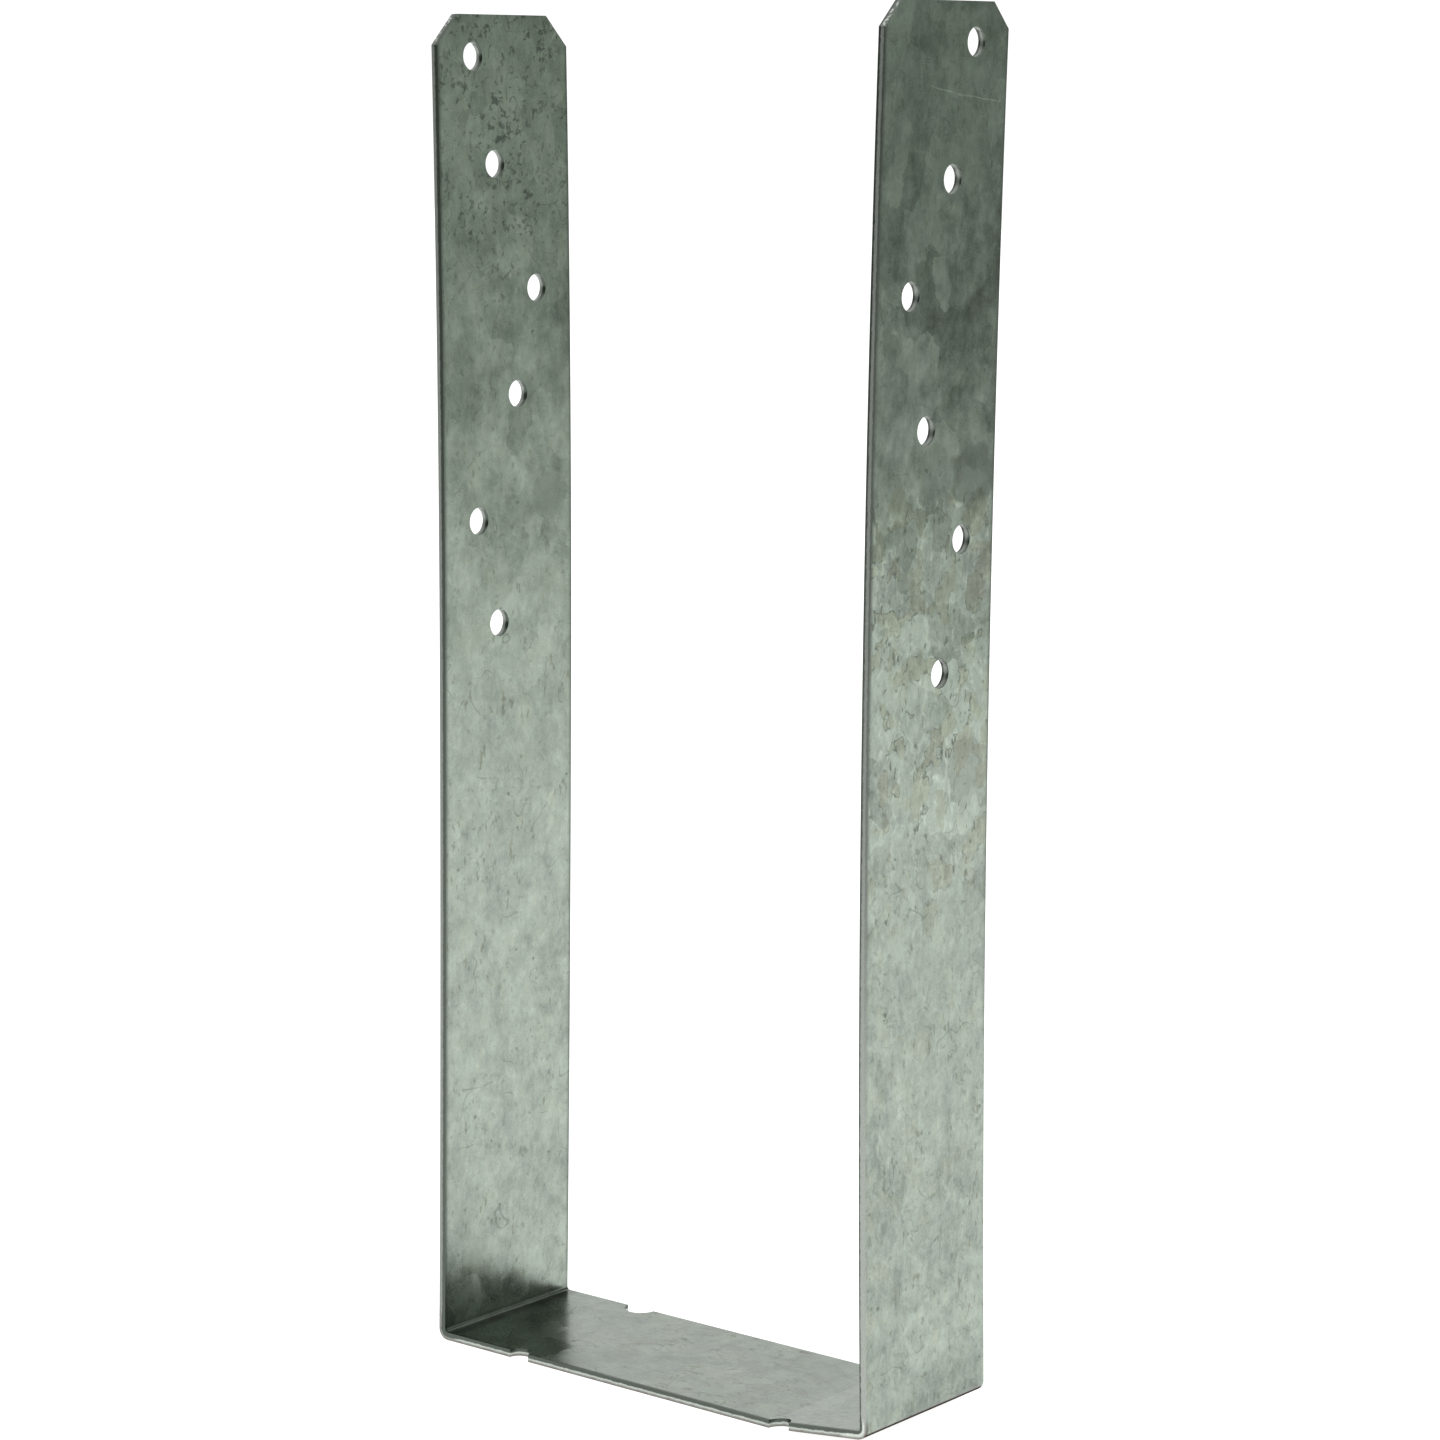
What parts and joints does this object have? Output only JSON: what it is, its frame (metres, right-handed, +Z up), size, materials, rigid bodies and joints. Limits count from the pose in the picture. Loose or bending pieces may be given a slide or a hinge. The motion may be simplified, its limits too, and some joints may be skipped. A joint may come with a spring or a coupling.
{
  "type": "stud plate tie",
  "caption": "U-shaped galvanised strap tie with a flat base and two tall legs, staggered nail holes in the legs, clipped tips and small half-round notches in the base.",
  "frame": {"origin": "middle of the base, on its underside", "axes": "+Z up along the legs, +X from the left leg to the right one, whose end of the base turns up slightly, +Y across the strap's width"},
  "size_m": [0.0916, 0.0318, 0.2242],
  "materials": {
    "galvanised_steel": "hot-dip galvanised sheet with a soft mottled spangle, half bright, with small dark specks and bare sheared edges"
  },
  "bodies": {
    "root": {"stud_plate_tie": "galvanised_steel"}
  },
  "joints": []
}
